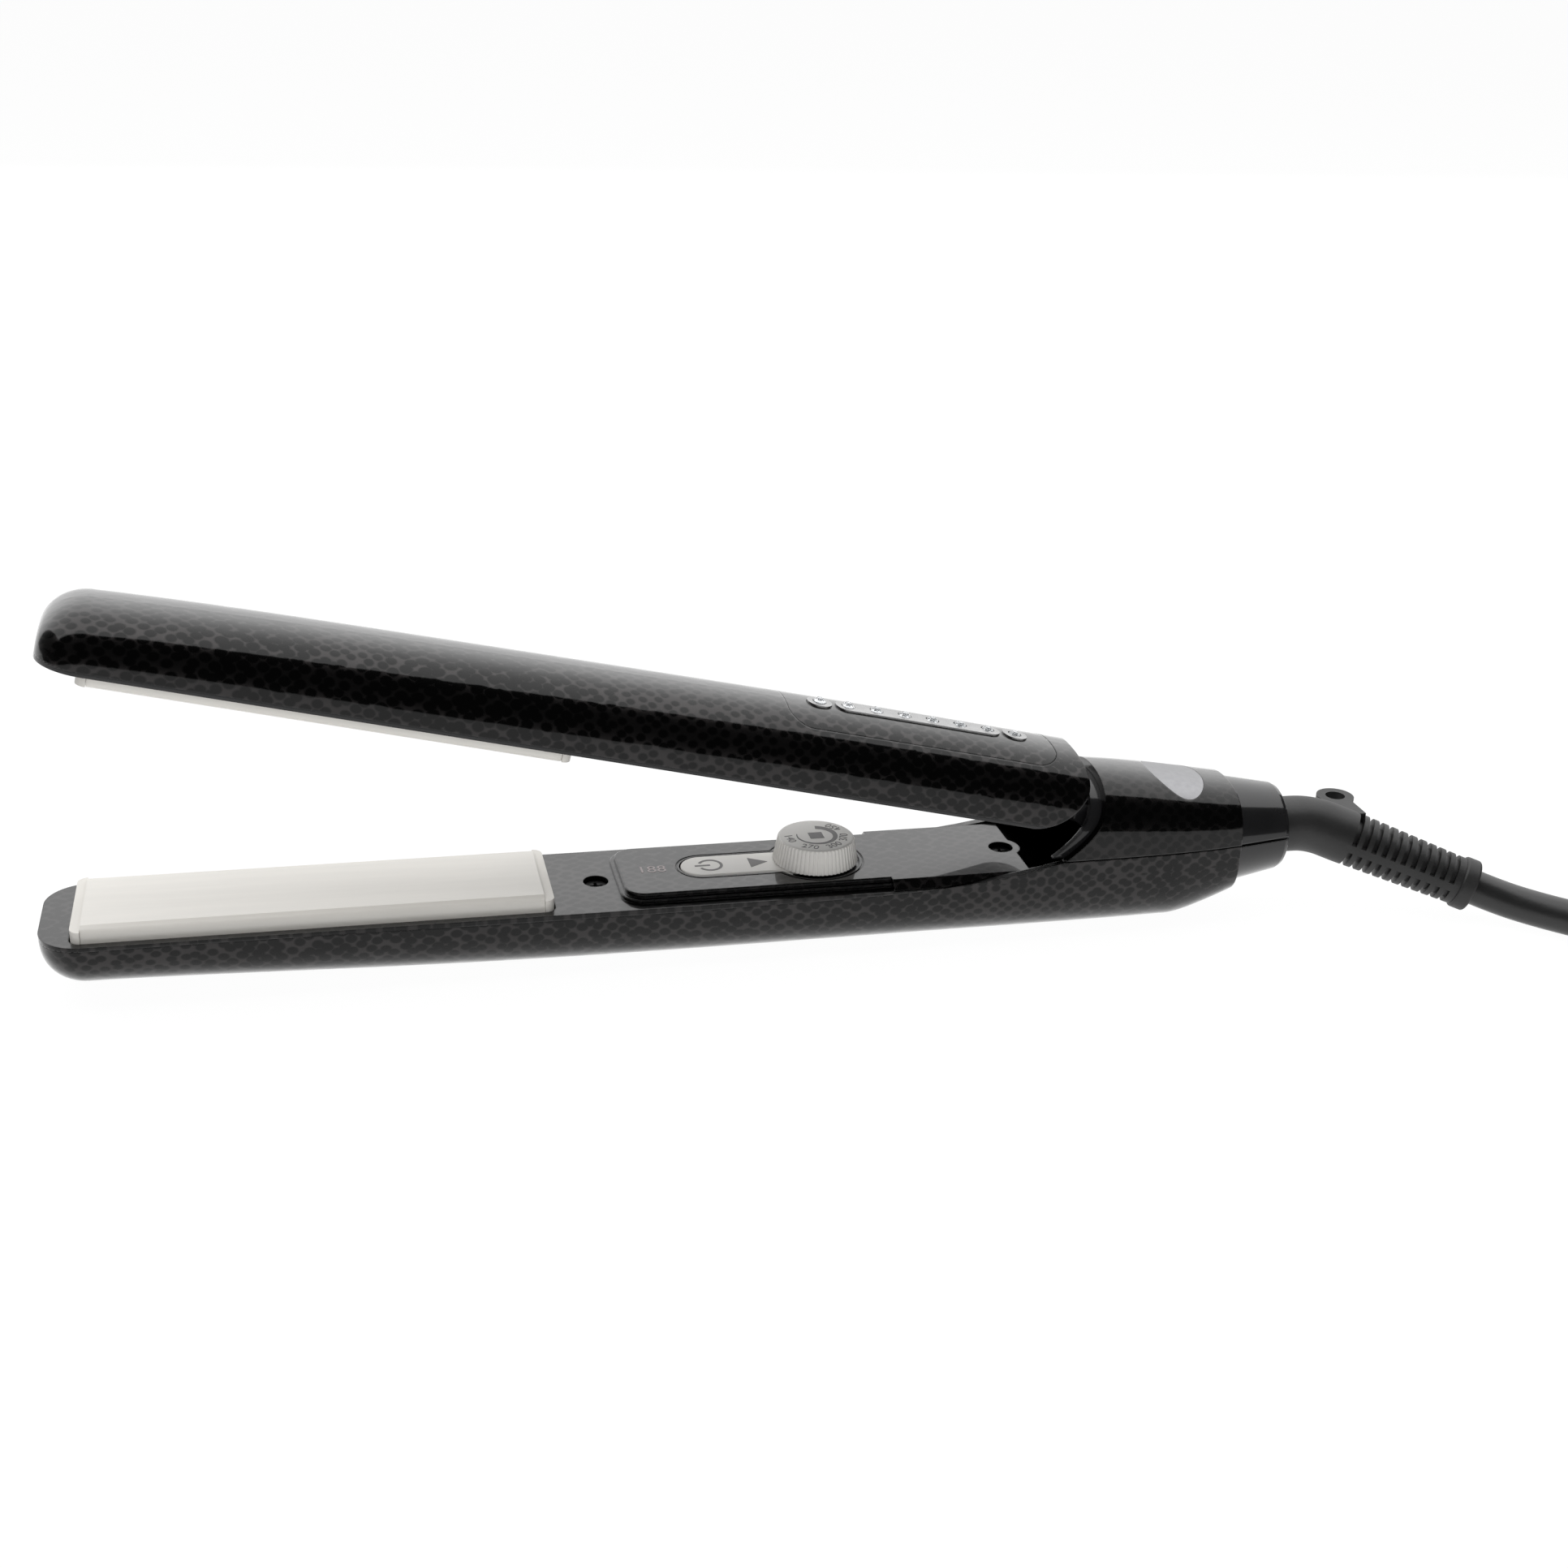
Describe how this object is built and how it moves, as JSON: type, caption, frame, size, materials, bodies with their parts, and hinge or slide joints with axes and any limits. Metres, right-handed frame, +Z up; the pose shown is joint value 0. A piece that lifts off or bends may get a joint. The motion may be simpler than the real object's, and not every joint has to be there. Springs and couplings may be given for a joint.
{
  "type": "hair straightening iron",
  "caption": "Hair straightening iron: long spring-opened arms hinged at the rear, flat heated plates, inner temperature dial and power key, stone-set trim, swivelling cord with a plug.",
  "frame": {"origin": "on the surface the iron lies on, under the hinge axis and midway across the arms", "axes": "+Z up from the surface, -X along the lower arm to its tip, +Y to the left seen from the rear towards the tip's far side, hinge axis along Y"},
  "size_m": [0.5148, 0.073, 0.0805],
  "materials": {
    "patterned_gloss": "gloss, printed with a dark scale pattern",
    "black_gloss": "high gloss",
    "black_satin": "satin",
    "plate_coating": "warm grey satin ceramic coating",
    "carrier_plastic": "satin, heat-proof",
    "heater_ceramic": "matte",
    "spring_steel": "bright",
    "sensor_glass": "clear, amber",
    "circuit_board": "green solder resist",
    "display": "dark red",
    "black_screws": "black oxide",
    "wire_sleeve": "satin silicone",
    "nylon": "satin",
    "badge_silver": "metallic silver grey",
    "bright_setting": "polished",
    "cut_glass": "clear, cut",
    "control_white": "satin off-white, grey markings",
    "relief_rubber": "matte",
    "cord_jacket": "satin",
    "contact_brass": "bright",
    "blade_nickel": "nickel plated"
  },
  "bodies": {
    "lower_arm": {"lower_shell": "patterned_gloss", "lower_inner_cover": "black_gloss", "rear_cover": "black_gloss", "rear_badge": "badge_silver", "mouth_liner": "black_satin", "collar_upper_half": "black_gloss", "collar_lower_half": "black_gloss", "lower_plate": "plate_coating", "lower_plate_carrier": "carrier_plastic", "lower_heater": "heater_ceramic", "lower_heater_clip": "spring_steel", "thermistor": "sensor_glass", "control_board": "circuit_board", "board_screws": "black_screws", "dial_potentiometer": "spring_steel", "key_switch": "black_satin", "display_module": "display", "mains_wires": "wire_sleeve", "lower_heater_wires": "wire_sleeve", "hinge_pin": "spring_steel", "torsion_spring": "spring_steel", "lower_cover_screws": "black_screws", "rear_cover_screws": "black_screws", "swivel_washer": "nylon", "swivel_terminal_block": "black_satin"},
    "upper_arm": {"upper_shell": "patterned_gloss", "upper_inner_cover": "black_gloss", "trim_panel": "black_gloss", "stone_setting": "bright_setting", "rhinestones": "cut_glass", "upper_plate": "plate_coating", "upper_plate_carrier": "carrier_plastic", "upper_heater": "heater_ceramic", "upper_heater_clip": "spring_steel", "thermal_fuse": "sensor_glass", "upper_heater_wires": "wire_sleeve", "hinge_bushes": "nylon", "upper_cover_screws": "black_screws"},
    "dial": {"dial_knob": "control_white", "dial_shaft": "nylon"},
    "key": {"power_key": "control_white"},
    "cord_end": {"strain_relief": "relief_rubber", "swivel_contact_rings": "contact_brass", "hanging_loop": "relief_rubber", "power_cord": "cord_jacket", "cord_hank": "cord_jacket", "cord_tie": "cord_jacket", "cord_tail": "cord_jacket", "plug_body": "cord_jacket", "plug_blades": "blade_nickel"}
  },
  "joints": [
    {"name": "arm_hinge", "type": "hinge", "parent": "lower_arm", "child": "upper_arm", "pos_m": [0, 0, 0.0174], "axis": [0, 1, 0], "range_deg": [-12.84, 0], "stiffness_Nm_per_rad": 0.8, "springref_deg": 22.92},
    {"name": "dial_turn", "type": "hinge", "parent": "lower_arm", "child": "dial", "pos_m": [-0.0709, 0, 0.0174], "axis": [0, 0, 1], "range_deg": [-270, 0]},
    {"name": "key_press", "type": "hinge", "parent": "lower_arm", "child": "key", "pos_m": [-0.0776, 0, 0.0154], "axis": [0, 1, 0], "range_deg": [-2.3, 0], "stiffness_Nm_per_rad": 0.1, "springref_deg": 5.73},
    {"name": "cord_swivel", "type": "hinge", "parent": "lower_arm", "child": "cord_end", "pos_m": [0.038, 0, 0.0174], "axis": [1, 0, 0], "continuous": true}
  ]
}
